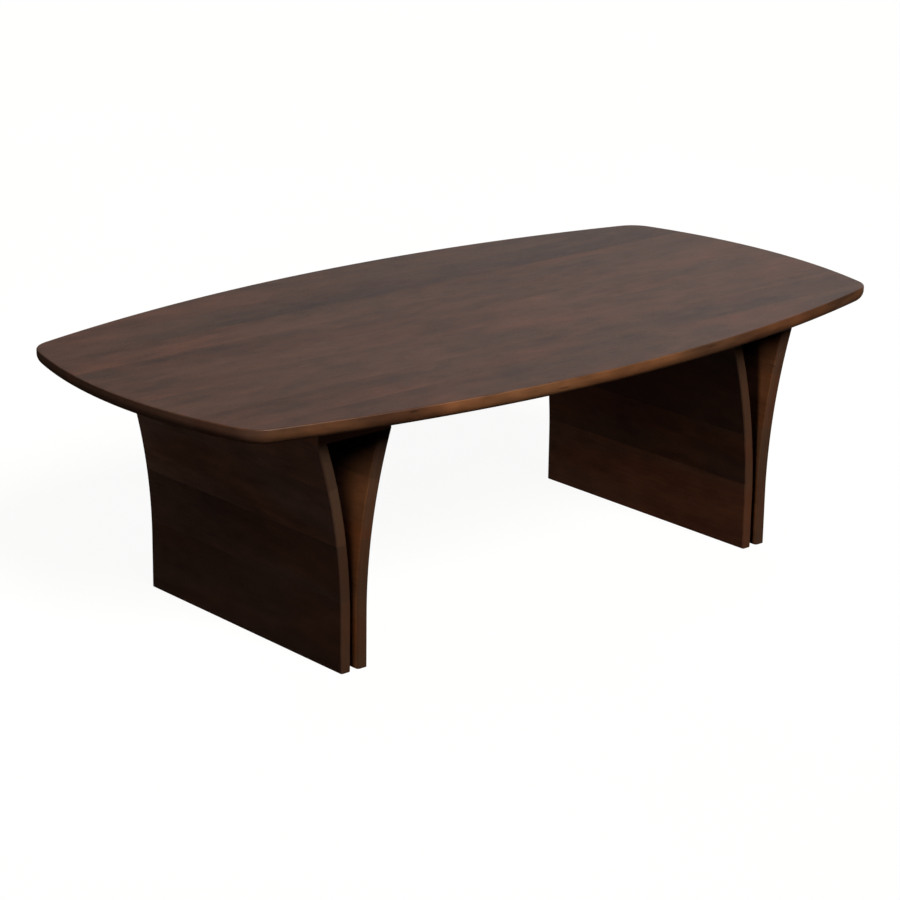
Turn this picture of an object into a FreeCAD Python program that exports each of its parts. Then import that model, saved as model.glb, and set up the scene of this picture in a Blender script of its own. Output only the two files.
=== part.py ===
import FreeCAD, Part
import math
import os

from FreeCAD import Vector

# Coffee table of dark solid wood. Lengths are in millimetres. The origin is on the floor, under the middle
# of the tabletop. X runs along the table, Y across it, and Z is up.

# Tabletop: a barrel-shaped slab, with curved sides and ends that meet in rounded corners
table_length = 1300.0
table_width = 692.0
table_height = 400.0
top_thickness = 24.0
side_bulge = 98.0
end_bulge = 78.0
corner_radius = 50.0
upper_arris = 1.5
under_rounding = 17.0
edge_flat = 1.0

# The slab is edge-glued from full-length boards, from the front to the back
board_width_shares = (0.146, 0.118, 0.143, 0.117, 0.120, 0.103, 0.112, 0.141)

# Legs: each is a pair of panels, upright at the floor, that curve away from each other towards the top
leg_overhang = 243.0
leg_depth = 452.0
panel_thickness = 18.0
foot_gap = 11.0
upright_height = 80.0
flare_radius = 837.0
outer_arris = 2.0
inner_arris = 3.2
foot_arris = 1.0

# A panel is glued up from horizontal staves, and its joints stand square to its curve
stave_joint_shares = (0.311, 0.555, 0.800)

# Cap board: closes the top of each pair of panels and carries the tabletop
cap_thickness = 32.0

# Loose tongues: one glued into grooves in each panel's upper edge and the cap board
tongue_thickness = 6.0
tongue_bite = 12.0
tongue_margin = 30.0

# Spacer strip: housed in a shallow groove in both panels, near their feet and set back from their ends
spacer_height = 60.0
spacer_lift = 15.0
spacer_setback = 40.0
spacer_housing = 3.0

# Machine bolts with wide flat heads that hold the tabletop, and the threaded inserts in the slab. A bolt
# stands at this share of the clear half width between the panels.
bolt_diameter = 8.0
bolt_head_diameter = 20.0
bolt_head_height = 4.0
socket_width = 5.0
socket_depth = 2.6
thread_bite = 11.4
bolt_offset_share = 0.525
bolt_end_margin = 36.0
slot_width = 10.0
slot_length = 16.0
insert_diameter = 12.0
insert_length = 13.0
insert_pocket_play = 1.0

# How far a cutting shape runs past what it cuts, and how near two coordinates are when they count as one
overrun = 10.0
nearness = 0.05

# Heights and offsets that follow from the sizes above
half_length = table_length / 2
half_width = table_width / 2
half_depth = leg_depth / 2
underside = table_height - top_thickness
panel_height = underside - cap_thickness
inner_radius = flare_radius + panel_thickness
middle_radius = flare_radius + panel_thickness / 2
curve_centre = foot_gap / 2 + inner_radius
leg_offset = half_length - leg_overhang
legs = {"left": -leg_offset, "right": leg_offset}


def offset_at(radius, height):
    """Distance from the leg's middle to the panel's face of this radius, at a height."""
    rise = max(height - upright_height, 0)
    return curve_centre - math.sqrt(radius**2 - rise**2)


def prism(points, start, end):
    """Solid with a polygon outline in the XZ plane, from one Y to another."""
    corners = [Vector(x, start, z) for x, z in points]
    face = Part.Face(Part.makePolygon(corners + corners[:1]))
    return face.extrude(Vector(0, end - start, 0))


def level_box(x_half, y_half, low, high):
    """Box centred on X = 0 and Y = 0, from one height to another."""
    return Part.makeBox(2 * x_half, 2 * y_half, high - low, Vector(-x_half, -y_half, low))


def cylinder(diameter, x, y, low, high):
    """Upright cylinder from one height to another."""
    return Part.makeCylinder(diameter / 2, high - low, Vector(x, y, low))


def export(name, solids):
    """Write one node as a STEP file."""
    shape = solids[0] if len(solids) == 1 else Part.makeCompound(solids)
    shape.exportStep(f"parts/{name}.step")


# Tabletop outline

def arc_radius(half_chord, bulge):
    """Radius of the arc that rises by bulge over half its chord."""
    return (half_chord**2 + bulge**2) / (2 * bulge)


def top_outline():
    """Closed outline of eight tangent arcs: two sides, two ends and four corners."""
    side_radius = arc_radius(half_length, side_bulge)
    end_radius = arc_radius(half_width, end_bulge)
    side_centre = Vector(0, half_width - side_radius, 0)
    end_centre = Vector(half_length - end_radius, 0, 0)
    span = end_centre - side_centre
    side_reach = side_radius - corner_radius
    end_reach = end_radius - corner_radius
    along = (side_reach**2 - end_reach**2 + span.Length**2) / (2 * span.Length)
    across = math.sqrt(side_reach**2 - along**2)
    unit = Vector(span).normalize()
    corner_centre = side_centre + unit * along + Vector(unit.y, -unit.x, 0) * across
    side_ray = (corner_centre - side_centre).normalize()
    end_ray = (corner_centre - end_centre).normalize()
    side_meet = corner_centre + side_ray * corner_radius
    end_meet = corner_centre + end_ray * corner_radius
    corner_middle = corner_centre + (side_ray + end_ray).normalize() * corner_radius

    def place(point, x_sign, y_sign):
        return Vector(point.x * x_sign, point.y * y_sign, underside)

    def arc(start, middle, end):
        return Part.Arc(start, middle, end).toShape()

    edges = []
    for x_sign, y_sign in ((1, 1), (1, -1), (-1, -1), (-1, 1)):
        meets = [place(side_meet, x_sign, y_sign), place(end_meet, x_sign, y_sign)]
        edges.append(arc(meets[0], place(corner_middle, x_sign, y_sign), meets[1]))
    for sign in (1, -1):
        side_ends = [place(side_meet, x_sign, sign) for x_sign in (-1, 1)]
        edges.append(arc(side_ends[0], Vector(0, half_width * sign, underside), side_ends[1]))
        end_ends = [place(end_meet, sign, y_sign) for y_sign in (-1, 1)]
        edges.append(arc(end_ends[0], Vector(half_length * sign, 0, underside), end_ends[1]))
    return Part.Wire(Part.__sortEdges__(edges))


def is_level(edge, height):
    """Whether an edge lies flat at a height."""
    box = edge.BoundBox
    return abs(box.ZMin - height) < nearness and abs(box.ZMax - height) < nearness


def rounded_slab():
    """The whole tabletop: eased upper edge, and a large rounding below that makes it look thin."""
    slab = Part.Face(top_outline()).extrude(Vector(0, 0, top_thickness))
    slab = slab.makeChamfer(upper_arris, [edge for edge in slab.Edges if is_level(edge, table_height)])
    under = min(under_rounding, top_thickness - upper_arris - edge_flat)
    return slab.makeFillet(under, [edge for edge in slab.Edges if is_level(edge, underside)])


def bolt_places(centre):
    """The four bolt axes of a leg."""
    offset = offset_at(inner_radius, panel_height) * bolt_offset_share
    reach = half_depth - bolt_end_margin
    return [(centre + side * offset, end * reach) for side in (-1, 1) for end in (-1, 1)]


def insert_pocket(x, y):
    """Blind hole in the slab for a threaded insert."""
    floor = underside + insert_length + insert_pocket_play
    return cylinder(insert_diameter, x, y, underside - overrun, floor)


def tabletop_boards():
    """Boards cut from the rounded slab, with pockets for the inserts."""
    slab = rounded_slab()
    for centre in legs.values():
        slab = slab.cut([insert_pocket(x, y) for x, y in bolt_places(centre)])
    total_share = sum(board_width_shares)
    front = -half_width
    for number, share in enumerate(board_width_shares, 1):
        back = front + table_width * share / total_share
        low = front - overrun if number == 1 else front
        high = back + overrun if number == len(board_width_shares) else back
        corner = Vector(-half_length - overrun, low, underside - overrun)
        cutter = Part.makeBox(table_length + 2 * overrun, high - low, top_thickness + 2 * overrun, corner)
        export(f"top_board_{number}", slab.common(cutter).Solids)
        front = back


# Leg panels, drawn with the leg's middle at X = 0 and the panel curving towards +X

def runs_up(edge, radius):
    """Whether an edge runs up an end of the panel, along its face of this radius."""
    first, last = edge.Vertexes[0].Point, edge.Vertexes[-1].Point
    middle = edge.valueAt((edge.FirstParameter + edge.LastParameter) / 2)
    on_face = abs(middle.x - offset_at(radius, middle.z)) < nearness
    return on_face and abs(first.y - last.y) < nearness < abs(first.z - last.z)


def panel_blank():
    """One curved panel in a single piece, with its arrises eased."""

    def point(radius, z):
        return Vector(offset_at(radius, z), -half_depth, z)

    def face_arc(radius, start, end):
        return Part.Arc(start, point(radius, (start.z + end.z) / 2), end).toShape()

    inner = [point(inner_radius, z) for z in (0, upright_height, panel_height)]
    outer = [point(flare_radius, z) for z in (0, upright_height, panel_height)]
    edges = [Part.makeLine(inner[0], inner[1]), face_arc(inner_radius, inner[1], inner[2]),
             Part.makeLine(inner[2], outer[2]), face_arc(flare_radius, outer[2], outer[1]),
             Part.makeLine(outer[1], outer[0]), Part.makeLine(outer[0], inner[0])]
    blank = Part.Face(Part.Wire(edges)).extrude(Vector(0, leg_depth, 0))
    for arris, radius in ((inner_arris, inner_radius), (outer_arris, flare_radius)):
        blank = blank.makeChamfer(arris, [edge for edge in blank.Edges if runs_up(edge, radius)])
    return blank.makeChamfer(foot_arris, [edge for edge in blank.Edges if is_level(edge, 0)])


def joint_line(height):
    """Inner and outer ends of a stave joint, square to the panel's curve and past both its faces."""
    angle = math.asin((height - upright_height) / middle_radius)
    ends = (inner_radius + overrun, flare_radius - overrun)
    return [(curve_centre - r * math.cos(angle), upright_height + r * math.sin(angle)) for r in ends]


def stave_cutters():
    """Prisms that part a panel into its staves, from the floor up."""

    def end_line(height, past):
        near = offset_at(inner_radius, height) - overrun
        far = offset_at(flare_radius, height) + overrun
        return [(near, past), (far, past)]

    lines = [end_line(0, -overrun)]
    lines += [joint_line(share * panel_height) for share in stave_joint_shares]
    lines.append(end_line(panel_height, panel_height + overrun))
    reach = half_depth + overrun
    return [prism([*below, *reversed(above)], -reach, reach) for below, above in zip(lines, lines[1:])]


def cap_tongue():
    """Upright tongue from the panel's sloping upper edge into the cap board, midway over its bite."""
    low = panel_height - tongue_bite
    middle = (offset_at(middle_radius, low) + offset_at(middle_radius, panel_height)) / 2
    tongue = level_box(tongue_thickness / 2, half_depth - tongue_margin, low, panel_height + tongue_bite)
    tongue.translate(Vector(middle, 0, 0))
    return tongue


def spacer_strip():
    """Strip that holds the feet of a pair of panels apart."""
    reach = half_depth - spacer_setback
    return level_box(foot_gap / 2 + spacer_housing, reach, spacer_lift, spacer_lift + spacer_height)


def mirrored(shape):
    """Copy of a shape on the other side of the leg's middle."""
    return shape.mirror(Vector(0, 0, 0), Vector(1, 0, 0))


def moved(shape, centre):
    """Copy of a shape in the place of the leg at this X."""
    copy = shape.copy()
    copy.translate(Vector(centre, 0, 0))
    return copy


def panel_staves():
    """Staves of the panel towards +X, with the grooves for its tongue and for the spacer strip."""
    panel = panel_blank().cut([cap_tongue(), spacer_strip()])
    return [panel.common(cutter).Solids for cutter in stave_cutters()]


def cap_board():
    """Board over a pair of panels, flush with their faces, with tongue grooves and bolt slots."""
    board = level_box(offset_at(flare_radius, panel_height), half_depth, panel_height, underside)
    upright = [edge for edge in board.Edges if edge.BoundBox.ZLength > cap_thickness / 2]
    board = board.makeChamfer(outer_arris, upright)
    return board.cut([cap_tongue(), mirrored(cap_tongue())] + [bolt_slot(x, y) for x, y in bolt_places(0)])


def bolt_slot(x, y):
    """Slot through the cap board, long across the table, that lets the slab swell and shrink."""
    low = panel_height - overrun
    high = underside + overrun
    shift = (slot_length - slot_width) / 2
    straight = level_box(slot_width / 2, shift, low, high)
    straight.translate(Vector(x, y, 0))
    return straight.fuse([cylinder(slot_width, x, y + end * shift, low, high) for end in (-1, 1)])


# Metal fastenings

def bolt(x, y):
    """Bolt with a wide flat head and a hexagon socket, driven from below."""
    face = panel_height - bolt_head_height
    head = cylinder(bolt_head_diameter, x, y, face, panel_height)
    shank = cylinder(bolt_diameter, x, y, panel_height, underside + thread_bite)
    sides = 6
    reach = socket_width / 2 / math.cos(math.pi / sides)
    turns = [math.tau * index / sides for index in range(sides)]
    corners = [Vector(x + reach * math.cos(turn), y + reach * math.sin(turn), face) for turn in turns]
    socket = Part.Face(Part.makePolygon(corners + corners[:1])).extrude(Vector(0, 0, socket_depth))
    return head.fuse(shank).cut(socket)


def insert(x, y):
    """Threaded sleeve for the bolt."""
    top = underside + insert_length
    sleeve = cylinder(insert_diameter, x, y, underside, top)
    return sleeve.cut(cylinder(bolt_diameter, x, y, underside, top))


def leg_pieces():
    """Every wooden piece of both legs. An inner panel faces the table's middle."""
    pieces = {
        "cap_board": [cap_board()],
        "cap_tongues": [cap_tongue(), mirrored(cap_tongue())],
        "spacer_strip": [spacer_strip()],
    }
    for number, solids in enumerate(panel_staves(), 1):
        pieces[f"right_stave_{number}"] = solids
        pieces[f"left_stave_{number}"] = [mirrored(solid) for solid in solids]
    for leg, centre in legs.items():
        other = "left" if leg == "right" else "right"
        for name, solids in pieces.items():
            node = name.replace(leg, "outer").replace(other, "inner")
            export(f"{leg}_leg_{node}", [moved(solid, centre) for solid in solids])


def fastenings():
    """Bolts and inserts, one node each for both legs."""
    places = [place for centre in legs.values() for place in bolt_places(centre)]
    for name, make in (("bolts", bolt), ("inserts", insert)):
        export(f"tabletop_{name}", [make(x, y) for x, y in places])


os.makedirs("parts", exist_ok=True)
tabletop_boards()
leg_pieces()
fastenings()
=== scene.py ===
"""Coffee table of dark walnut: a barrel-shaped top on two legs, each a pair of curved panels of staves."""
import math
import random
from types import SimpleNamespace

import bmesh
import bpy
from mathutils import Matrix, Vector
from mathutils.geometry import tessellate_polygon


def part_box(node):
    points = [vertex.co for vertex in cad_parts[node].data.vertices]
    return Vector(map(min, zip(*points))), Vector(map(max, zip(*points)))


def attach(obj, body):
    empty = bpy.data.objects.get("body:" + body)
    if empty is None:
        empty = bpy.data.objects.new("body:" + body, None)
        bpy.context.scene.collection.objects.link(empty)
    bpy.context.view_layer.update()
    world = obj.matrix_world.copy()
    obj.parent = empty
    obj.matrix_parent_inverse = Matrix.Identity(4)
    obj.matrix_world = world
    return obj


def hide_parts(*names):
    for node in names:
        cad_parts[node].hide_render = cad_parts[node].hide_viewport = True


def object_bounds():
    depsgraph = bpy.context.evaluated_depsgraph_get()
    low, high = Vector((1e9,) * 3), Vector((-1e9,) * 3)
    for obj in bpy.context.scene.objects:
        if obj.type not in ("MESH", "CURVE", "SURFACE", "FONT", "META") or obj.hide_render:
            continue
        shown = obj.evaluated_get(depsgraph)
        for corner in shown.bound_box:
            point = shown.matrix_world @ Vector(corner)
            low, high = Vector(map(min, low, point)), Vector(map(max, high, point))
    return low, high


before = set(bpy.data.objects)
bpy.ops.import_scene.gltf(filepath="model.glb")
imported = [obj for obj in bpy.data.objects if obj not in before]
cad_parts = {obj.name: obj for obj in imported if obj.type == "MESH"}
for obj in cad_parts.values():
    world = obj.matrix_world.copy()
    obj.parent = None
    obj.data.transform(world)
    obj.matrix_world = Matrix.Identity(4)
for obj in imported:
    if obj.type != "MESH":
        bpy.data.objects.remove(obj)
cad_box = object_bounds()

# Sizes in metres. What the frame tells is read from it, and the rest is repeated from the part.
TABLE_LENGTH = cad_box[1][0] - cad_box[0][0]
TABLE_WIDTH = cad_box[1][1] - cad_box[0][1]
TABLE_HEIGHT = cad_box[1][2]
CAP_LOW, CAP_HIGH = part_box("left_leg_cap_board")
UNDERSIDE = CAP_HIGH.z
PANEL_HEIGHT = CAP_LOW.z
HALF_DEPTH = CAP_HIGH.y
CAP_HALF_WIDTH = (CAP_HIGH.x - CAP_LOW.x) / 2
LEG_PLACES = {leg: sum(corner.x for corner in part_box(f"{leg}_leg_cap_board")) / 2
              for leg in ("left", "right")}

# Tabletop
SIDE_BULGE = 0.098
END_BULGE = 0.078
CORNER_RADIUS = 0.050
UPPER_ROUNDING = 0.0019
UNDER_ROUNDING = 0.017
BOARD_COUNT = 8
SIDE_STEPS = 120
END_STEPS = 80
CORNER_STEPS = 20
UPPER_STEPS = 8
UNDER_STEPS = 12

# How near a point is to a cut when it counts as on it
NEARNESS = 1e-7

# Leg panels
PANEL_THICKNESS = 0.018
FOOT_GAP = 0.011
UPRIGHT_HEIGHT = 0.080
FLARE_RADIUS = 0.837
OUTER_ROUNDING = 0.0034
INNER_ROUNDING = 0.0054
FOOT_EASE = 0.0011
JOINT_EASE = 0.00015
STAVE_JOINT_SHARES = (0.311, 0.555, 0.800)
STAVE_STEPS = 16
ARRIS_STEPS = 7
EASE_STEPS = 4
CURVE_CENTRE = FOOT_GAP / 2 + PANEL_THICKNESS + FLARE_RADIUS
MIDDLE_RADIUS = FLARE_RADIUS + PANEL_THICKNESS / 2

# Bolts
BOLT_DIAMETER = 0.008
BOLT_HEAD_DIAMETER = 0.020
BOLT_HEAD_HEIGHT = 0.004
BOLT_HEAD_ROUNDING = 0.0009
BOLT_TIP_EASE = 0.0008
SOCKET_SIDES = 6
SOCKET_WIDTH = 0.005
SOCKET_DEPTH = 0.0026
SOCKET_EASE = 0.0003
SLOT_WIDTH = 0.010
SLOT_LENGTH = 0.016
THREAD_BITE = 0.0114
BOLT_OFFSET_SHARE = 0.525
BOLT_END_MARGIN = 0.036
CIRCLE_STEPS = 48


# Closed forms from rings of points

class Form:
    """Points with their normals, and faces that are smooth or flat, from which a piece's mesh is made."""

    def __init__(self):
        self.points = []
        self.normals = []
        self.faces = []
        self.flat = []

    def ring(self, ring):
        """Add a closed ring of (point, normal) and give the places of its points."""
        first = len(self.points)
        self.points += [point for point, normal in ring]
        self.normals += [normal for point, normal in ring]
        return list(range(first, len(self.points)))

    def wall(self, rings, flat=False):
        """Wall through several rings. Gives the places of the first and the last ring."""
        rows = [self.ring(ring) for ring in rings]
        for lower, upper in zip(rows, rows[1:]):
            for here, there in zip(range(len(lower)), list(range(1, len(lower))) + [0]):
                self.add_face([lower[here], lower[there], upper[there], upper[here]], flat)
        return rows[0], rows[-1]

    def lid(self, loop, *holes):
        """Flat face over a loop, with a hole for each further loop."""
        if not holes:
            self.add_face(loop, True)
            return
        loops = [loop, *holes]
        places = [place for each in loops for place in each]
        outlines = [[Vector(self.points[place]) for place in each] for each in loops]
        for triangle in tessellate_polygon(outlines):
            self.add_face([places[corner] for corner in triangle], True)

    def add_face(self, corners, flat):
        self.faces.append(corners)
        self.flat.append(flat)

    def solid(self):
        """The form as a bmesh, whose points keep their normal and whose faces keep whether they are flat."""
        solid = bmesh.new()
        normal_layer = solid.verts.layers.float_vector.new("normal")
        flat_layer = solid.faces.layers.int.new("flat")
        points = [solid.verts.new(point) for point in self.points]
        for point, normal in zip(points, self.normals):
            point[normal_layer] = normal
        for corners, flat in zip(self.faces, self.flat):
            face = solid.faces.new([points[corner] for corner in corners])
            face[flat_layer] = int(flat)
        bmesh.ops.recalc_face_normals(solid, faces=solid.faces)
        return solid


def shaded_mesh(name, solid):
    """Mesh of a bmesh, shaded by the normals that its points keep, and flat on its flat faces."""
    normal_layer = solid.verts.layers.float_vector["normal"]
    flat_layer = solid.faces.layers.int["flat"]
    solid.verts.index_update()
    normals = [point[normal_layer].normalized() for point in solid.verts]
    flat = [bool(face[flat_layer]) for face in solid.faces]
    solid.verts.layers.float_vector.remove(normal_layer)
    solid.faces.layers.int.remove(solid.faces.layers.int["flat"])
    mesh = bpy.data.meshes.new(name)
    solid.to_mesh(mesh)
    solid.free()
    mesh.shade_smooth()
    corner_normals = []
    for polygon, is_flat in zip(mesh.polygons, flat):
        corner_normals += [polygon.normal if is_flat else normals[point] for point in polygon.vertices]
    mesh.normals_split_custom_set(corner_normals)
    return mesh


def add_piece(name, solid, slot, material, *nodes):
    """Put a piece in the scene, riding on the table in the place of its CAD nodes."""
    piece = bpy.data.objects.new(name, shaded_mesh(name, solid))
    bpy.context.scene.collection.objects.link(piece)
    piece.data.materials.append(material)
    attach(piece, "root")
    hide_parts(*nodes)


def turns(start, end, steps):
    """Angles from one to another, both included."""
    return [start + (end - start) * step / steps for step in range(steps + 1)]


# Tabletop

def arc_radius(half_chord, bulge):
    """Radius of the arc that rises by bulge over half its chord."""
    return (half_chord**2 + bulge**2) / (2 * bulge)


def top_outline():
    """Outline of the tabletop as (point, outward normal), counter-clockwise from the middle of the +X end."""
    half_length = TABLE_LENGTH / 2
    half_width = TABLE_WIDTH / 2
    side_radius = arc_radius(half_length, SIDE_BULGE)
    end_radius = arc_radius(half_width, END_BULGE)
    side_centre = Vector((0, half_width - side_radius))
    end_centre = Vector((half_length - end_radius, 0))
    span = end_centre - side_centre
    side_reach = side_radius - CORNER_RADIUS
    end_reach = end_radius - CORNER_RADIUS
    along = (side_reach**2 - end_reach**2 + span.length_squared) / (2 * span.length)
    across = math.sqrt(side_reach**2 - along**2)
    unit = span.normalized()
    corner_centre = side_centre + unit * along + Vector((unit.y, -unit.x)) * across
    side_ray = corner_centre - side_centre
    end_ray = corner_centre - end_centre
    side_turn = math.atan2(side_ray.y, side_ray.x)
    end_turn = math.atan2(end_ray.y, end_ray.x)
    arcs = [(end_centre, end_radius, turns(0, end_turn, END_STEPS // 2)),
            (corner_centre, CORNER_RADIUS, turns(end_turn, side_turn, CORNER_STEPS)),
            (side_centre, side_radius, turns(side_turn, math.pi / 2, SIDE_STEPS // 2))]
    quarter = []
    for centre, radius, angles in arcs:
        for angle in angles[:-1]:
            ray = Vector((math.cos(angle), math.sin(angle)))
            quarter.append((centre + ray * radius, ray))
    quarter.append((Vector((0, half_width)), Vector((0, 1))))

    def flipped(points, x_sign, y_sign):
        return [(Vector((point.x * x_sign, point.y * y_sign)), Vector((ray.x * x_sign, ray.y * y_sign)))
                for point, ray in points]

    far = quarter + flipped(quarter[-2::-1], -1, 1)
    return far + flipped(far[-2:0:-1], 1, -1)


def rim_profile():
    """Edge of the tabletop from below to above, as (inset, height, outward, upward)."""
    profile = []
    for angle in turns(-math.pi / 2, 0, UNDER_STEPS):
        inset = UNDER_ROUNDING * (1 - math.cos(angle))
        height = UNDERSIDE + UNDER_ROUNDING * (1 + math.sin(angle))
        profile.append((inset, height, math.cos(angle), math.sin(angle)))
    for angle in turns(0, math.pi / 2, UPPER_STEPS):
        inset = UPPER_ROUNDING * (1 - math.cos(angle))
        height = TABLE_HEIGHT - UPPER_ROUNDING * (1 - math.sin(angle))
        profile.append((inset, height, math.cos(angle), math.sin(angle)))
    return profile


def slab_form():
    """The whole tabletop in one piece."""
    form = Form()
    outline = top_outline()
    rings = []
    for inset, height, outward, upward in rim_profile():
        ring = []
        for point, ray in outline:
            place = point - ray * inset
            ring.append(((place.x, place.y, height), (ray.x * outward, ray.y * outward, upward)))
        rings.append(ring)
    below, above = form.wall(rings)
    form.lid(below)
    form.lid(above)
    return form


def cut_at(solid, y, keep_far):
    """Cut a bmesh by an upright plane across the table, keep one side and close the cut with a flat face."""
    everything = list(solid.verts) + list(solid.edges) + list(solid.faces)
    result = bmesh.ops.bisect_plane(solid, geom=everything, dist=NEARNESS, plane_co=(0, y, 0),
                                    plane_no=(0, 1, 0), clear_inner=keep_far, clear_outer=not keep_far)
    rim = [item for item in result["geom_cut"] if isinstance(item, bmesh.types.BMEdge)]
    flat_layer = solid.faces.layers.int["flat"]
    for face in bmesh.ops.edgeloop_fill(solid, edges=rim)["faces"]:
        face[flat_layer] = 1
    bmesh.ops.recalc_face_normals(solid, faces=solid.faces)


def tabletop(materials):
    """The boards of the tabletop, cut from one slab where the CAD boards meet."""
    form = slab_form()
    for number in range(1, BOARD_COUNT + 1):
        node = f"top_board_{number}"
        low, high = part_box(node)
        solid = form.solid()
        if number > 1:
            cut_at(solid, low.y, True)
        if number < BOARD_COUNT:
            cut_at(solid, high.y, False)
        add_piece(f"walnut_board_{number}", solid, "top_wood", materials[number - 1], node)


# Leg panels. Each is drawn with the leg's middle at X = 0 and curves towards +X.

def rounded_section():
    """Section of a panel, a rectangle with rounded arrises.

    Its points are (depth from the face away from the hollow, y, depth normal, y normal).
    """
    corners = ((0, -1, OUTER_ROUNDING, math.pi), (1, -1, INNER_ROUNDING, 1.5 * math.pi),
               (1, 1, INNER_ROUNDING, 0), (0, 1, OUTER_ROUNDING, math.pi / 2))
    section = []
    for inner, end, rounding, start in corners:
        centre_depth = PANEL_THICKNESS - rounding if inner else rounding
        centre_y = end * (HALF_DEPTH - rounding)
        for angle in turns(start, start + math.pi / 2, ARRIS_STEPS):
            ray = (math.cos(angle), math.sin(angle))
            section.append((centre_depth + rounding * ray[0], centre_y + rounding * ray[1], *ray))
    return section


def quarter_turn(rounding):
    """Rounding between a lid and a wall, as (inset, distance from the lid, outward, along the sweep)."""
    rays = [(math.sin(angle), math.cos(angle)) for angle in turns(0, math.pi / 2, EASE_STEPS)]
    return [(rounding * (1 - outward), rounding * (1 - along), outward, along) for outward, along in rays]


def run_at_height(height, radius):
    """Distance along the panel's middle line at which the face of this radius reaches a height."""
    return UPRIGHT_HEIGHT + MIDDLE_RADIUS * math.asin((height - UPRIGHT_HEIGHT) / radius)


def panel_ring(section, run, inset, outward, lengthwise, place_x, side):
    """Ring of the panel's section at a run, which may depend on the radius, in the place of its leg."""
    ring = []
    for depth, y, depth_normal, y_normal in section:
        radius = FLARE_RADIUS + depth - inset * depth_normal
        distance = run(radius)
        turn = max(distance - UPRIGHT_HEIGHT, 0) / MIDDLE_RADIUS
        height = min(distance, UPRIGHT_HEIGHT) + radius * math.sin(turn)
        x = CURVE_CENTRE - radius * math.cos(turn)
        normal_x = -outward * depth_normal * math.cos(turn) + lengthwise * math.sin(turn)
        normal_z = outward * depth_normal * math.sin(turn) + lengthwise * math.cos(turn)
        point = (place_x + side * x, y - inset * y_normal, height)
        ring.append((point, (side * normal_x, outward * y_normal, normal_z)))
    return ring


def stave_form(number, place_x, side):
    """One stave of a panel: 1 stands on the floor, and the last ends level under the cap board."""
    count = len(STAVE_JOINT_SHARES) + 1
    section = rounded_section()

    def joint(share):
        return run_at_height(share * PANEL_HEIGHT, MIDDLE_RADIUS)

    start = 0 if number == 1 else joint(STAVE_JOINT_SHARES[number - 2])

    def end(radius):
        if number == count:
            return run_at_height(PANEL_HEIGHT, radius)
        return joint(STAVE_JOINT_SHARES[number - 1])

    def ring(share, shift, inset, outward, lengthwise):
        def run(radius):
            return start + (end(radius) - start) * share + shift
        return panel_ring(section, run, inset, outward, lengthwise, place_x, side)

    start_ease = FOOT_EASE if number == 1 else JOINT_EASE
    rings = [ring(0, rise, inset, outward, -along)
             for inset, rise, outward, along in quarter_turn(start_ease)]
    rings += [ring(step / STAVE_STEPS, 0, 0, 1, 0) for step in range(1, STAVE_STEPS)]
    rings += [ring(1, -rise, inset, outward, along)
              for inset, rise, outward, along in reversed(quarter_turn(JOINT_EASE))]
    form = Form()
    foot, head = form.wall(rings)
    form.lid(foot)
    form.lid(head)
    return form


def staves(materials):
    """Every stave of the four panels."""
    for leg, place_x in LEG_PLACES.items():
        away = 1 if leg == "right" else -1
        for panel, side in (("outer", away), ("inner", -away)):
            for number in range(1, len(STAVE_JOINT_SHARES) + 2):
                node = f"{leg}_leg_{panel}_stave_{number}"
                solid = stave_form(number, place_x, side).solid()
                add_piece(f"walnut_{leg}_{panel}_{number}", solid, "leg_wood", materials[node], node)


# Cap boards and bolts

def bolt_places(place_x):
    """Axes of a leg's four bolts."""
    clear = CURVE_CENTRE - math.sqrt((FLARE_RADIUS + PANEL_THICKNESS)**2 - (PANEL_HEIGHT - UPRIGHT_HEIGHT)**2)
    reach = HALF_DEPTH - BOLT_END_MARGIN
    return [(place_x + side * clear * BOLT_OFFSET_SHARE, end * reach) for side in (-1, 1) for end in (-1, 1)]


def rounded_rectangle(half_x, half_y, rounding, steps, centre):
    """Outline with rounded corners as (x, y, x normal, y normal)."""
    outline = []
    for x_sign, y_sign, start in ((1, 1, 0), (-1, 1, 1), (-1, -1, 2), (1, -1, 3)):
        for angle in turns(start * math.pi / 2, (start + 1) * math.pi / 2, steps):
            ray = (math.cos(angle), math.sin(angle))
            x = centre[0] + x_sign * (half_x - rounding) + rounding * ray[0]
            y = centre[1] + y_sign * (half_y - rounding) + rounding * ray[1]
            outline.append((x, y, *ray))
    return outline


def upright_ring(outline, height, inset=0, outward=1, upward=0):
    """Ring of an upright form at a height, drawn in by an inset."""
    return [((x - inset * ray_x, y - inset * ray_y, height), (outward * ray_x, outward * ray_y, upward))
            for x, y, ray_x, ray_y in outline]


def cap_form(place_x):
    """Cap board with the slots for its bolts."""
    form = Form()
    outline = rounded_rectangle(CAP_HALF_WIDTH, HALF_DEPTH, OUTER_ROUNDING, ARRIS_STEPS, (place_x, 0))
    ease = quarter_turn(JOINT_EASE)
    rings = [upright_ring(outline, PANEL_HEIGHT + rise, inset, outward, -along)
             for inset, rise, outward, along in ease]
    rings += [upright_ring(outline, UNDERSIDE - rise, inset, outward, along)
              for inset, rise, outward, along in reversed(ease)]
    below, above = form.wall(rings)
    holes = []
    slot_rounding = SLOT_WIDTH / 2 - JOINT_EASE
    for place in bolt_places(place_x):
        slot = rounded_rectangle(SLOT_WIDTH / 2, SLOT_LENGTH / 2, slot_rounding, CIRCLE_STEPS // 4, place)
        holes.append(form.wall([upright_ring(slot, height, 0, -1) for height in (PANEL_HEIGHT, UNDERSIDE)]))
    form.lid(below, *[low for low, high in holes])
    form.lid(above, *[high for low, high in holes])
    return form


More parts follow.
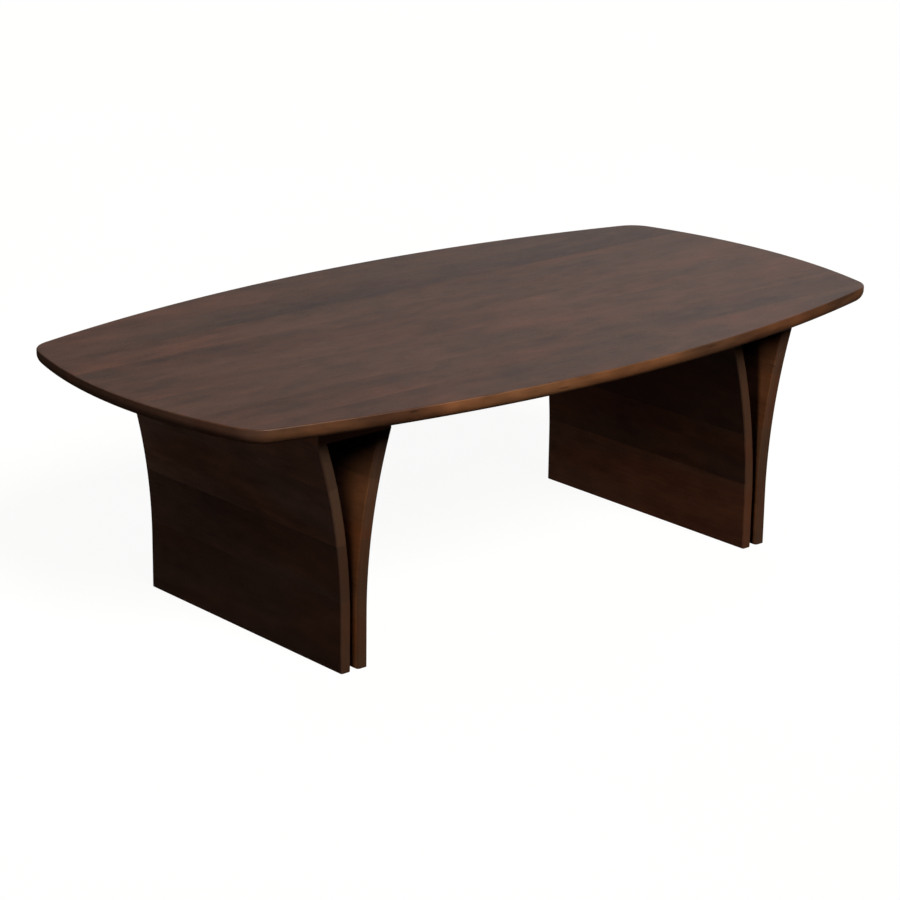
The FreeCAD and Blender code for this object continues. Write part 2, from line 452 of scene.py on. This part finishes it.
def circle(diameter, centre, steps=CIRCLE_STEPS):
    """Circle or regular polygon as (x, y, x normal, y normal)."""
    angles = [math.tau * step / steps for step in range(steps)]
    rays = [(math.cos(angle), math.sin(angle)) for angle in angles]
    return [(centre[0] + diameter / 2 * x, centre[1] + diameter / 2 * y, x, y) for x, y in rays]


def add_bolt(form, place):
    """Bolt with a wide flat head and a hexagon socket, driven from below."""
    face = PANEL_HEIGHT - BOLT_HEAD_HEIGHT
    head = circle(BOLT_HEAD_DIAMETER, place)
    shank = circle(BOLT_DIAMETER, place)
    socket = circle(SOCKET_WIDTH / math.cos(math.pi / SOCKET_SIDES), place, SOCKET_SIDES)
    rim = [upright_ring(head, face + rise, inset, outward, -along)
           for inset, rise, outward, along in quarter_turn(BOLT_HEAD_ROUNDING)]
    face_loop, seat_loop = form.wall(rim + [upright_ring(head, PANEL_HEIGHT)])
    tip = [upright_ring(shank, UNDERSIDE + THREAD_BITE - rise, inset, outward, along)
           for inset, rise, outward, along in reversed(quarter_turn(BOLT_TIP_EASE))]
    root_loop, tip_loop = form.wall([upright_ring(shank, PANEL_HEIGHT)] + tip)
    mouth = upright_ring(socket, face, -SOCKET_EASE, -1)
    throat = upright_ring(socket, face + SOCKET_EASE, 0, -1)
    floor = upright_ring(socket, face + SOCKET_DEPTH, 0, -1)
    mouth_loop, floor_loop = form.wall([mouth, throat, floor], flat=True)
    form.lid(face_loop, mouth_loop)
    form.lid(floor_loop)
    form.lid(seat_loop, root_loop)
    form.lid(tip_loop)


def caps_and_bolts(materials):
    """Both cap boards, and the bolts that hold the tabletop to them."""
    bolts = Form()
    for leg, place_x in LEG_PLACES.items():
        node = f"{leg}_leg_cap_board"
        add_piece(f"walnut_{leg}_cap", cap_form(place_x).solid(), "leg_wood", materials[node], node)
        for place in bolt_places(place_x):
            add_bolt(bolts, place)
    add_piece("flat_head_bolts", bolts.solid(), "bolt_steel", materials["tabletop_bolts"], "tabletop_bolts")


# Materials

# How far apart the pieces' patterns are taken from one endless pattern
SEED_SPREAD = 5.0

# Features per metre of each walnut pattern, along the grain and across it
WANDER_SCALE = (1.6, 5, 5)
BAND_SCALE = (3.0, 15, 15)
CLOUD_SCALE = (17, 44, 44)
STRAND_SCALE = (38, 150, 150)
FIBRE_SCALE = (30, 1500, 1500)
PORE_SCALE = (110, 1100, 1100)
STREAK_SCALE = (20, 210, 210)
HUE_SCALE = (3.4, 12, 12)
PATCH_SCALE = (9, 30, 30)

# Where each smooth step of the walnut starts and ends
LATE_WOOD_RISE = (0.35, 0.88)
LATE_WOOD_FALL = (1.0, 0.90)
END_GRAIN_FACING = (0.20, 0.70)
RIM_FACING = (0.97, 0.60)
PORE_EDGE = (0.30, 0.16)
STREAK_EDGE = (0.42, 0.10)
HUE_STEP = (0.40, 0.64)
PATCH_STEP = (0.36, 0.64)

PORE_RARITY = 0.45
END_GRAIN_CONTRAST = 0.35
END_GRAIN_ROUGHNESS = 0.12
PORE_ROUGHNESS = 0.25
STRAND_RELIEF = 0.5
FIBRE_RELIEF = 0.3
RELIEF_DEPTH = 0.0002

TOP_FINISH = SimpleNamespace(
    dark=(0.036, 0.0158, 0.0090), light=(0.162, 0.069, 0.0395), level=0.50,
    bands=1.05, clouds=0.95, strands=0.12, fibres=0.08,
    rings=0.03, ring_width=0.0085, wander=(0.0, 0.06, 0.06), red=(1.14, 0.90, 0.74, 1), red_share=0.5,
    pores=0.22, streaks=0.50, streak_rarity=0.95,
    end_tint=(0.85, 0.85, 0.78, 1), rim_tint=(0.85, 0.90, 0.78, 1), rim_light_tint=(2.40, 2.45, 1.80, 1),
    roughness=0.42, roughness_spread=0.08, specular=0.36, bump=0.20)
LEG_FINISH = SimpleNamespace(
    dark=(0.036, 0.0155, 0.0088), light=(0.150, 0.068, 0.0405), level=0.50,
    bands=0.80, clouds=0.65, strands=0.35, fibres=0.18,
    rings=0.06, ring_width=0.0080, wander=(0.0, 0.06, 0.06), red=(1.14, 0.90, 0.74, 1), red_share=0.8,
    pores=0.30, streaks=0.30, streak_rarity=0.96,
    end_tint=(0.44, 0.44, 0.36, 1), rim_tint=(1.0, 1.0, 1.0, 1), rim_light_tint=(1.0, 1.0, 1.0, 1),
    roughness=0.52, roughness_spread=0.20, specular=0.22, bump=0.30)

# Tone and warmth of the tabletop's boards, from the front to the back
BOARD_TONES = ((0.93, 0.03), (0.95, 0.02), (1.00, 0.01), (1.00, 0.02),
               (0.97, 0.01), (0.93, 0.00), (0.72, -0.03), (0.84, -0.02))

# Between which two X the front board's edge shows paler wood, how softly that starts and ends, and its share
SAPWOOD_PLACE = (-0.30, 0.09)
SAPWOOD_FADE = 0.09
SAPWOOD_SHARE = 0.6

# Tone, warmth and end-grain tone of each panel's staves, from the floor up. These are partly the staves' own
# differing tones and partly painted light and shade. The left leg's outer panel is darker low down and
# lighter higher up. The right leg's inner panel has a painted warm glow on its lowest stave and is darker
# above it. The end-grain tones even out the front ends against these.
STAVE_TONES_AND_PAINTED_LIGHT = {
    "left_leg_outer": ((0.52, -0.02, 2.12), (0.68, -0.06, 1.50), (1.20, -0.10, 1.36), (1.45, -0.14, 0.90)),
    "left_leg_inner": ((1.20, 0.10, 0.76), (1.45, 0.10, 0.66), (1.50, 0.10, 0.78), (1.20, 0.04, 0.78)),
    "right_leg_inner": ((1.18, 0.12, 1.16), (0.82, 0.08, 1.66), (0.62, 0.04, 2.15), (0.58, 0.02, 2.15)),
    "right_leg_outer": ((1.10, 0.00, 1.00), (1.08, 0.02, 1.00), (1.30, 0.07, 0.96), (1.14, 0.00, 1.00)),
}
# Tone, warmth and end-grain tone of the cap boards and spacer strips: painted light, lighter than the staves
# and most on their end grain, to lift the shade under the tabletop
CAP_AND_SPACER_TONE_AND_PAINTED_LIGHT = (1.40, 0.0, 2.0)

# Steel: a mottle and fine scratches, with how far they change the colour and the roughness
MOTTLE_SCALE = (900, 900, 900)
MOTTLE_DEPTH = 0.3
MOTTLE_BUMP = 0.25
MOTTLE_RELIEF = 0.00005
SCRATCH_SCALE = (300, 6000, 6000)
SCRATCH_STEP = (0.3, 0.7)
SCRATCH_ROUGHNESS = (-0.06, 0.08)

# Beech: fibres along Y, and short dark flecks
BEECH = SimpleNamespace(
    fibre_scale=(900, 12, 900), dark=(0.43, 0.29, 0.16, 1), light=(0.60, 0.44, 0.27, 1),
    fleck_scale=(900, 260, 900), fleck_edge=(0.4, 0.2), fleck_rarity=0.7, fleck_share=0.5,
    fleck=(0.24, 0.13, 0.06, 1), roughness=0.65, bump=0.2, relief=0.0001)


class Shader:
    """Node tree of a material, written as formulas on sockets and numbers."""

    def __init__(self, name):
        self.material = bpy.data.materials.new(name)
        self.material.use_nodes = True
        self.tree = self.material.node_tree
        self.surface = self.tree.nodes["Principled BSDF"]

    def node(self, kind, inputs=None, **settings):
        node = self.tree.nodes.new(kind)
        for key, value in settings.items():
            setattr(node, key, value)
        for key, value in (inputs or {}).items():
            self.put(value, node.inputs[key])
        return node

    def put(self, value, socket):
        if isinstance(value, bpy.types.NodeSocket):
            self.tree.links.new(value, socket)
        else:
            socket.default_value = value

    def surface_values(self, **values):
        """Put a socket, number or colour in each named input of the surface, with _ for a space."""
        for key, value in values.items():
            self.put(value, self.surface.inputs[key.replace("_", " ")])

    def math(self, operation, *values, clamp=False):
        inputs = dict(enumerate(values))
        return self.node("ShaderNodeMath", inputs, operation=operation, use_clamp=clamp).outputs[0]

    def vector_math(self, operation, *values, output="Vector"):
        inputs = dict(enumerate(values))
        return self.node("ShaderNodeVectorMath", inputs, operation=operation).outputs[output]

    def stretched(self, vector, scale):
        """Coordinates multiplied by a scale for each axis, in features per metre."""
        return self.vector_math("MULTIPLY", vector, scale)

    def part_of(self, vector, axis):
        return self.node("ShaderNodeSeparateXYZ", {"Vector": vector}).outputs[axis]

    def noise(self, vector, detail=2.0, output="Fac"):
        inputs = {"Vector": vector, "Scale": 1.0, "Detail": detail}
        return self.node("ShaderNodeTexNoise", inputs).outputs[output]

    def cells(self, vector):
        """Distance to the middle of the nearest cell, and the cell's own random number."""
        node = self.node("ShaderNodeTexVoronoi", {"Vector": vector, "Scale": 1.0})
        number = self.node("ShaderNodeSeparateColor", {"Color": node.outputs["Color"]}).outputs[0]
        return node.outputs["Distance"], number

    def ramp(self, value, low, high, to_low=0.0, to_high=1.0):
        """Smooth step of a value between two others."""
        inputs = {"Value": value, "From Min": low, "From Max": high, "To Min": to_low, "To Max": to_high}
        return self.node("ShaderNodeMapRange", inputs, interpolation_type="SMOOTHSTEP").outputs["Result"]

    def spread(self, value, amount):
        """A value from 0 to 1 as a swing about 0."""
        return self.math("MULTIPLY", self.math("SUBTRACT", value, 0.5), amount)

    def mix(self, share, first, second, blend="MIX"):
        inputs = {0: share, 6: first, 7: second}
        return self.node("ShaderNodeMix", inputs, data_type="RGBA", blend_type=blend).outputs[2]

    def bump(self, height, strength, distance):
        inputs = {"Height": height, "Strength": strength, "Distance": distance}
        return self.node("ShaderNodeBump", inputs).outputs["Normal"]


def shade(color, tone=1.0, warmth=0.0):
    """Colour made lighter or darker by a tone, and redder or greyer by a warmth."""
    return (color[0] * tone * (1 + warmth), color[1] * tone, color[2] * tone * (1 - warmth), 1)


def walnut(name, finish, rng, rotation, middle, pith, tone, warmth, end_tone=1.0, sapwood=None):
    """Stained walnut as a solid texture: growth rings round a pith outside the board, fibres, pores, streaks.

    The rotation turns the frame's axes so that the grain runs along X. The pith is given from the piece's
    middle. Sapwood, if there is any, is the stretch along the grain where the rim is mostly paler.
    """
    shader = Shader(name)
    coordinates = shader.node("ShaderNodeTexCoord").outputs
    facing = coordinates["Normal"]

    def turned(vector):
        inputs = {"Vector": vector, "Rotation": rotation}
        node = shader.node("ShaderNodeVectorRotate", inputs, rotation_type="EULER_XYZ", invert=True)
        return node.outputs["Vector"]

    place = turned(shader.vector_math("SUBTRACT", coordinates["Object"], middle))
    seed = tuple(rng.uniform(-SEED_SPREAD, SEED_SPREAD) for axis in range(3))
    grain = shader.vector_math("ADD", place, seed)

    # Growth rings, from the distance to a pith that wanders along the board
    wander = shader.noise(shader.stretched(grain, WANDER_SCALE), output="Color")
    wander = shader.vector_math("SUBTRACT", wander, (0.5, 0.5, 0.5))
    wander = shader.vector_math("MULTIPLY", wander, finish.wander)
    from_pith = shader.vector_math("SUBTRACT", place, (0, pith[1], pith[0]))
    across = shader.vector_math("MULTIPLY", shader.vector_math("ADD", from_pith, wander), (0, 1, 1))
    distance = shader.vector_math("LENGTH", across, output="Value")
    cycle = shader.math("FRACT", shader.math("DIVIDE", distance, finish.ring_width))
    late = shader.math("MULTIPLY", shader.ramp(cycle, *LATE_WOOD_RISE), shader.ramp(cycle, *LATE_WOOD_FALL))

    # Where the surface is cut across the fibres
    end_grain = shader.ramp(shader.math("ABSOLUTE", shader.part_of(turned(facing), "X")), *END_GRAIN_FACING)

    # Tone along the fibres, from broad bands to single fibres
    bands = shader.noise(shader.stretched(grain, BAND_SCALE), 3.0)
    clouds = shader.noise(shader.stretched(grain, CLOUD_SCALE), 3.0)
    strands = shader.noise(shader.stretched(grain, STRAND_SCALE), 3.0)
    fibres = shader.noise(shader.stretched(grain, FIBRE_SCALE))
    level = shader.math("ADD", shader.spread(bands, finish.bands), shader.spread(clouds, finish.clouds))
    level = shader.math("ADD", level, shader.spread(strands, finish.strands))
    level = shader.math("ADD", level, shader.spread(fibres, finish.fibres))
    level = shader.math("SUBTRACT", level, shader.math("MULTIPLY", late, finish.rings))
    level = shader.math("MULTIPLY", level, shader.ramp(end_grain, 0.0, 1.0, 1.0, END_GRAIN_CONTRAST))
    level = shader.math("ADD", level, finish.level, clamp=True)
    color = shader.mix(level, shade(finish.dark, tone, warmth), shade(finish.light, tone, warmth))

    # The stain is redder in some stretches
    hue = shader.ramp(shader.noise(shader.stretched(grain, HUE_SCALE), 1.0), *HUE_STEP)
    color = shader.mix(shader.math("MULTIPLY", hue, finish.red_share), color, finish.red, "MULTIPLY")

    # Pores are short dark dashes along the grain, and dots on end grain
    pore_distance, pore_number = shader.cells(shader.stretched(grain, PORE_SCALE))
    open_pore = shader.math("GREATER_THAN", pore_number, PORE_RARITY)
    pores = shader.math("MULTIPLY", shader.ramp(pore_distance, *PORE_EDGE), open_pore)
    streak_distance, streak_number = shader.cells(shader.stretched(grain, STREAK_SCALE))
    rare = shader.math("GREATER_THAN", streak_number, finish.streak_rarity)
    streaks = shader.math("MULTIPLY", shader.ramp(streak_distance, *STREAK_EDGE), rare)
    darkening = shader.math("ADD", shader.math("MULTIPLY", pores, finish.pores),
                            shader.math("MULTIPLY", streaks, finish.streaks), clamp=True)
    color = shader.mix(darkening, color, (0, 0, 0, 1))

    # End grain takes more stain, and the sanded rim less
    color = shader.mix(end_grain, color, shade(finish.end_tint, end_tone), "MULTIPLY")
    flatness = shader.math("ABSOLUTE", shader.part_of(facing, "Z"))
    rim = shader.math("MULTIPLY", shader.ramp(flatness, *RIM_FACING), shader.math("SUBTRACT", 1, end_grain))
    patches = shader.ramp(shader.noise(shader.stretched(grain, PATCH_SCALE)), *PATCH_STEP)
    if sapwood:
        lengthwise = shader.math("ADD", shader.part_of(place, "X"), shader.spread(clouds, SAPWOOD_FADE))
        start, end = (shader.ramp(lengthwise, x - SAPWOOD_FADE, x + SAPWOOD_FADE) for x in sapwood)
        within = shader.math("MULTIPLY", shader.math("SUBTRACT", start, end), SAPWOOD_SHARE)
        patches = shader.math("ADD", shader.math("MULTIPLY", patches, 1 - SAPWOOD_SHARE), within)
    rim_tint = shader.mix(patches, finish.rim_tint, finish.rim_light_tint)
    color = shader.mix(rim, color, rim_tint, "MULTIPLY")

    rough = shader.math("ADD", finish.roughness, shader.spread(strands, finish.roughness_spread))
    rough = shader.math("ADD", rough, shader.math("MULTIPLY", end_grain, END_GRAIN_ROUGHNESS))
    rough = shader.math("ADD", rough, shader.math("MULTIPLY", pores, PORE_ROUGHNESS), clamp=True)
    relief = shader.math("ADD", shader.spread(strands, STRAND_RELIEF), shader.spread(fibres, FIBRE_RELIEF))
    relief = shader.math("SUBTRACT", relief, pores)
    shader.surface_values(Base_Color=color, Roughness=rough, Specular_IOR_Level=finish.specular,
                          Normal=shader.bump(relief, finish.bump, RELIEF_DEPTH))
    return shader.material


def steel(name, color, roughness):
    """Coated steel with a faint mottle and fine scratches."""
    shader = Shader(name)
    place = shader.node("ShaderNodeTexCoord").outputs["Object"]
    mottle = shader.noise(shader.stretched(place, MOTTLE_SCALE), 3.0)
    scratches = shader.noise(shader.stretched(place, SCRATCH_SCALE))
    tint = shader.mix(mottle, shade(color, 1 - MOTTLE_DEPTH), shade(color, 1 + MOTTLE_DEPTH))
    smooth, rough = (roughness + change for change in SCRATCH_ROUGHNESS)
    shader.surface_values(Base_Color=tint, Roughness=shader.ramp(scratches, *SCRATCH_STEP, smooth, rough),
                          Normal=shader.bump(mottle, MOTTLE_BUMP, MOTTLE_RELIEF), Metallic=1.0)
    return shader.material


def beech():
    """Plain unfinished beech, whose grain runs along Y."""
    shader = Shader("plain_beech")
    place = shader.node("ShaderNodeTexCoord").outputs["Object"]
    fibres = shader.noise(shader.stretched(place, BEECH.fibre_scale), 3.0)
    distance, number = shader.cells(shader.stretched(place, BEECH.fleck_scale))
    chosen = shader.math("GREATER_THAN", number, BEECH.fleck_rarity)
    flecks = shader.math("MULTIPLY", shader.ramp(distance, *BEECH.fleck_edge), chosen)
    color = shader.mix(fibres, BEECH.dark, BEECH.light)
    color = shader.mix(shader.math("MULTIPLY", flecks, BEECH.fleck_share), color, BEECH.fleck)
    shader.surface_values(Base_Color=color, Roughness=BEECH.roughness,
                          Normal=shader.bump(fibres, BEECH.bump, BEECH.relief))
    return shader.material


def board_materials():
    """A walnut for each board of the tabletop, whose grain runs along X."""
    rng = random.Random(11)
    materials = []
    for number, (tone, warmth) in enumerate(BOARD_TONES, 1):
        low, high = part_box(f"top_board_{number}")
        middle = tuple((low + high) / 2)
        pith = (-rng.uniform(0.07, 0.16), rng.uniform(-0.03, 0.03))
        tilt = (rng.uniform(-0.25, 0.25), rng.uniform(-0.012, 0.012), rng.uniform(-0.012, 0.012))
        materials.append(walnut(f"walnut_board_{number}", TOP_FINISH, rng, tilt, middle, pith, tone, warmth,
                                sapwood=SAPWOOD_PLACE if number == 1 else None))
    return materials


def leg_materials():
    """A walnut for each stave, cap board and spacer strip, whose grain runs along Y."""
    rng = random.Random(23)
    materials = {}
    nodes = [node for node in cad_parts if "stave" in node or "cap_board" in node or "spacer" in node]
    for node in sorted(nodes):
        # Caps and spacers take a tone lifted by painted light, and each stave takes its own tone, which holds
        # painted light and shade as well as the wood's own tone
        tone, warmth, end_tone = CAP_AND_SPACER_TONE_AND_PAINTED_LIGHT
        if "_stave_" in node:
            panel, number = node.split("_stave_")
            tone, warmth, end_tone = STAVE_TONES_AND_PAINTED_LIGHT[panel][int(number) - 1]
        low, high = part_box(node)
        middle = tuple((low + high) / 2)
        pith = (-rng.uniform(0.05, 0.14), rng.uniform(-0.03, 0.03))
        rotation = (rng.uniform(0, math.tau), 0, math.pi / 2 + rng.uniform(-0.01, 0.01))
        materials[node] = walnut(node, LEG_FINISH, rng, rotation, middle, pith, tone, warmth, end_tone)
    return materials


def dress_cad_nodes(materials):
    """Give the CAD nodes their materials. The ones that no piece replaces show them."""
    for node, material in materials.items():
        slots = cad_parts[node].data.materials
        slots.clear()
        slots.append(material)


# Floor, light and camera

STAGE_RADIUS = 40.0
FLOOR_TONES = ((0.10, 0.10, 0.10, 1), (0.12, 0.12, 0.12, 1))
FLOOR_ROUGHNESS = 0.9
FLOOR_GLOW = (0.93, 0.93, 0.925, 1)
BACKDROP_GLOW = (0.98, 0.98, 0.975, 1)

# Pieces that a sun can be limited to, by the start of their names. What isn't in "right_hand" is "others".
RIGHT_HAND_PANELS = ("walnut_left_inner", "walnut_right_outer")
LIT_GROUPS = {
    "left_inner": "walnut_left_inner",
    "right_outer": "walnut_right_outer",
    "right_hand": RIGHT_HAND_PANELS,
    "legs": ("walnut_left", "walnut_right"),
}

# Name, direction towards the light, strength, width in degrees, colour and lit group
SUNS = (
    ("key", (-0.06, -0.78, 0.62), 1.04, 22, (1.0, 0.97, 0.93), "others"),
    ("key_on_right_hand_panels", (0.14, -0.78, 0.62), 1.00, 22, (1.0, 0.97, 0.93), "right_hand"),
    ("side_on_left_leg", (-0.84, -0.545, 0.66), 0.40, 20, (1.0, 0.88, 0.58), "left_inner"),
    ("side_on_right_leg", (-0.90, -0.41, 0.24), 0.37, 9, (1.0, 0.88, 0.58), "right_outer"),
    ("fill", (-0.96, -0.20, -0.15), 0.10, 60, (1.0, 1.0, 1.0), "others"),
    ("back", (0.55, 0.80, 0.15), 0.32, 40, (1.0, 1.0, 1.0), "legs"),
)

# Name, place, size and power
LAMPS = (
    ("lamp_right", (1.2, 0.1, 1.6), 0.8, 3.0),
    ("lamp_left", (-0.9, 0.7, 0.9), 0.6, 2.6),
)

# Lobes of the light from all round, which are added up: the direction of the middle, the cosine where the
# lobe starts, and the strength outside it and at its middle
WORLD_LOBES = (
    ((0.82, 0.57, 0.04), 0.82, 0.003, 0.703),
    ((0.35, -0.75, -0.45), 0.3, 0.0, 0.012),
)

CAMERA_PLACE = (-2.7791, -3.1125, 1.5366)
CAMERA_AZIMUTH = 41.4001
CAMERA_ELEVATION = 17.9502
CAMERA_ROLL = -0.7741
SENSOR_WIDTH = 36.0
LENS = 114.945


def add_stage():
    """Pale floor and backdrop that only the camera sees."""
    floor_shader = Shader("pale_floor")
    mottle = floor_shader.noise(floor_shader.node("ShaderNodeTexCoord").outputs["Object"])
    floor_shader.surface_values(Base_Color=floor_shader.mix(mottle, *FLOOR_TONES), Roughness=FLOOR_ROUGHNESS,
                              Specular_IOR_Level=0.0, Emission_Color=FLOOR_GLOW, Emission_Strength=1.0)
    backdrop_shader = Shader("pale_backdrop")
    backdrop_shader.surface_values(Base_Color=(0, 0, 0, 1), Specular_IOR_Level=0.0,
                                 Emission_Color=BACKDROP_GLOW, Emission_Strength=1.0)
    bpy.ops.mesh.primitive_circle_add(vertices=96, radius=STAGE_RADIUS, fill_type="NGON")
    floor = bpy.context.object
    bpy.ops.mesh.primitive_uv_sphere_add(segments=64, ring_count=32, radius=STAGE_RADIUS)
    backdrop = bpy.context.object
    for stage, material in ((floor, floor_shader.material), (backdrop, backdrop_shader.material)):
        stage.name = material.name
        stage.data.materials.append(material)
        stage.visible_diffuse = False
        stage.visible_glossy = False
        stage.visible_transmission = False
        stage.visible_shadow = False


def lit_groups():
    """Collections of the meshes that a sun can be limited to, by name."""
    groups = {name: bpy.data.collections.new(name) for name in (*LIT_GROUPS, "others")}
    for piece in [piece for piece in bpy.context.scene.objects if piece.type == "MESH"]:
        for name, starts in LIT_GROUPS.items():
            if piece.name.startswith(starts):
                groups[name].objects.link(piece)
        if not piece.name.startswith(RIGHT_HAND_PANELS):
            groups["others"].objects.link(piece)
    return groups


def add_light(name, kind, energy, color=(1.0, 1.0, 1.0)):
    """Put a light in the scene, and return it."""
    data = bpy.data.lights.new(name, kind)
    data.energy = energy
    data.color = color
    light = bpy.data.objects.new(name, data)
    bpy.context.scene.collection.objects.link(light)
    return light


def add_lights():
    """Soft studio light. Each wall of a leg's hollow has its own, because one is lit and one is dark."""
    groups = lit_groups()
    for name, toward, strength, width, color, lit in SUNS:
        sun = add_light(name, "SUN", strength * math.pi, color)
        sun.data.angle = math.radians(width)
        sun.rotation_euler = Vector(toward).to_track_quat("Z", "Y").to_euler()
        sun.light_linking.receiver_collection = groups[lit]
    for name, place, size, power in LAMPS:
        lamp = add_light(name, "AREA", power)
        lamp.data.size = size
        lamp.location = place


def add_world():
    """Dim light from all round, with a broad lobe from the right and behind and a faint one from below."""
    world = bpy.data.worlds.new("studio")
    bpy.context.scene.world = world
    world.use_nodes = True
    tree = world.node_tree
    background = tree.nodes["Background"]
    background.inputs["Color"].default_value = (1, 1, 1, 1)
    direction = tree.nodes.new("ShaderNodeTexCoord").outputs["Generated"]

    add = tree.nodes.new("ShaderNodeMath")
    for place, (toward, start, least, most) in enumerate(WORLD_LOBES):
        dot = tree.nodes.new("ShaderNodeVectorMath")
        dot.operation = "DOT_PRODUCT"
        dot.inputs[1].default_value = Vector(toward).normalized()
        tree.links.new(direction, dot.inputs[0])
        step = tree.nodes.new("ShaderNodeMapRange")
        step.interpolation_type = "SMOOTHSTEP"
        for key, value in (("From Min", start), ("From Max", 1.0), ("To Min", least), ("To Max", most)):
            step.inputs[key].default_value = value
        tree.links.new(dot.outputs["Value"], step.inputs["Value"])
        tree.links.new(step.outputs["Result"], add.inputs[place])
    tree.links.new(add.outputs[0], background.inputs["Strength"])


def add_camera():
    """Camera at the photograph's viewing angle. The azimuth is measured from +Y towards +X."""
    angles = (CAMERA_AZIMUTH, CAMERA_ELEVATION, CAMERA_ROLL)
    azimuth, elevation, roll = (math.radians(angle) for angle in angles)
    forward = Vector((math.sin(azimuth) * math.cos(elevation), math.cos(azimuth) * math.cos(elevation),
                      -math.sin(elevation)))
    level = Vector((math.cos(azimuth), -math.sin(azimuth), 0))
    down = forward.cross(level)
    right = math.cos(roll) * level + math.sin(roll) * down
    down = -math.sin(roll) * level + math.cos(roll) * down
    data = bpy.data.cameras.new("camera")
    data.sensor_width = SENSOR_WIDTH
    data.lens = LENS
    data.clip_end = 3 * STAGE_RADIUS
    camera = bpy.data.objects.new("camera", data)
    turn = Matrix((right, -down, -forward)).transposed().to_4x4()
    camera.matrix_world = Matrix.Translation(CAMERA_PLACE) @ turn
    bpy.context.scene.collection.objects.link(camera)
    bpy.context.scene.camera = camera


node_materials = leg_materials()
node_materials["tabletop_bolts"] = steel("black_steel", (0.10, 0.10, 0.105), 0.38)
node_materials["tabletop_inserts"] = steel("zinc_steel", (0.50, 0.50, 0.46), 0.35)
beech_wood = beech()
for leg in LEG_PLACES:
    node_materials[f"{leg}_leg_cap_tongues"] = beech_wood
tabletop(board_materials())
staves(node_materials)
caps_and_bolts(node_materials)
dress_cad_nodes(node_materials)
add_stage()
add_lights()
add_world()
add_camera()
bpy.context.scene.view_settings.view_transform = "Standard"
bpy.context.scene.view_settings.look = "None"
